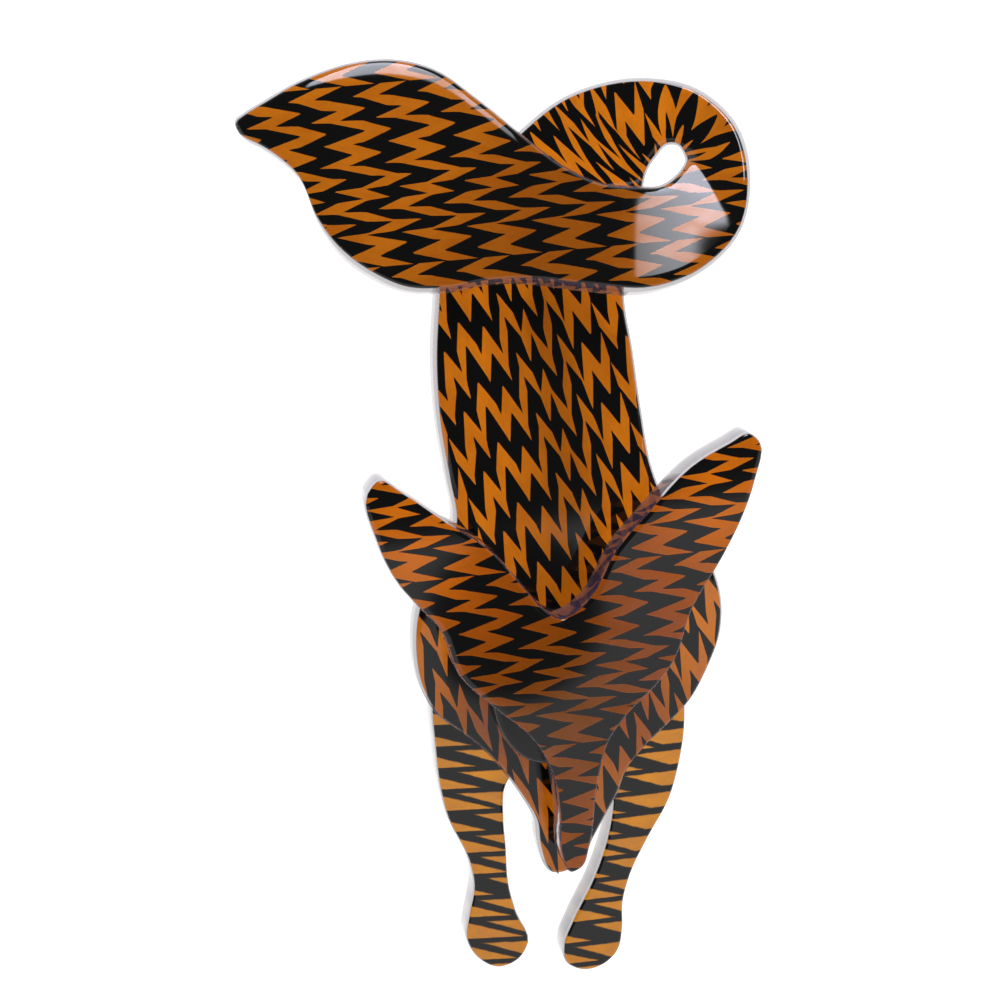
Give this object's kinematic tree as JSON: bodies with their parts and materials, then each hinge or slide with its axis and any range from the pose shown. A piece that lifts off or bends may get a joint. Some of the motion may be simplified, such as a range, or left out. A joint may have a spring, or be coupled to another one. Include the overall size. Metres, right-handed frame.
{
  "type": "figural fox brooch",
  "caption": "Figural fox brooch cut and heat bent from glossy zigzag laminated sheet, with a curled tail, raised head, long legs and a bar pin on the back.",
  "frame": {"origin": "middle of the brooch's footprint, on the surface that its back rests on", "axes": "+Z out of the front of the brooch, +Y up the fox from feet to tail, +X to the viewer's right"},
  "size_m": [0.0504, 0.0952, 0.0143],
  "materials": {
    "patterned_sheet": "polished, amber and black zigzag under a clear gloss",
    "black_sheet": "polished",
    "pin_metal": "satin"
  },
  "bodies": {
    "root": {"body_tail": "patterned_sheet", "head": "patterned_sheet", "legs": "patterned_sheet", "head_spacer": "black_sheet", "pin_back": "pin_metal"}
  },
  "joints": []
}
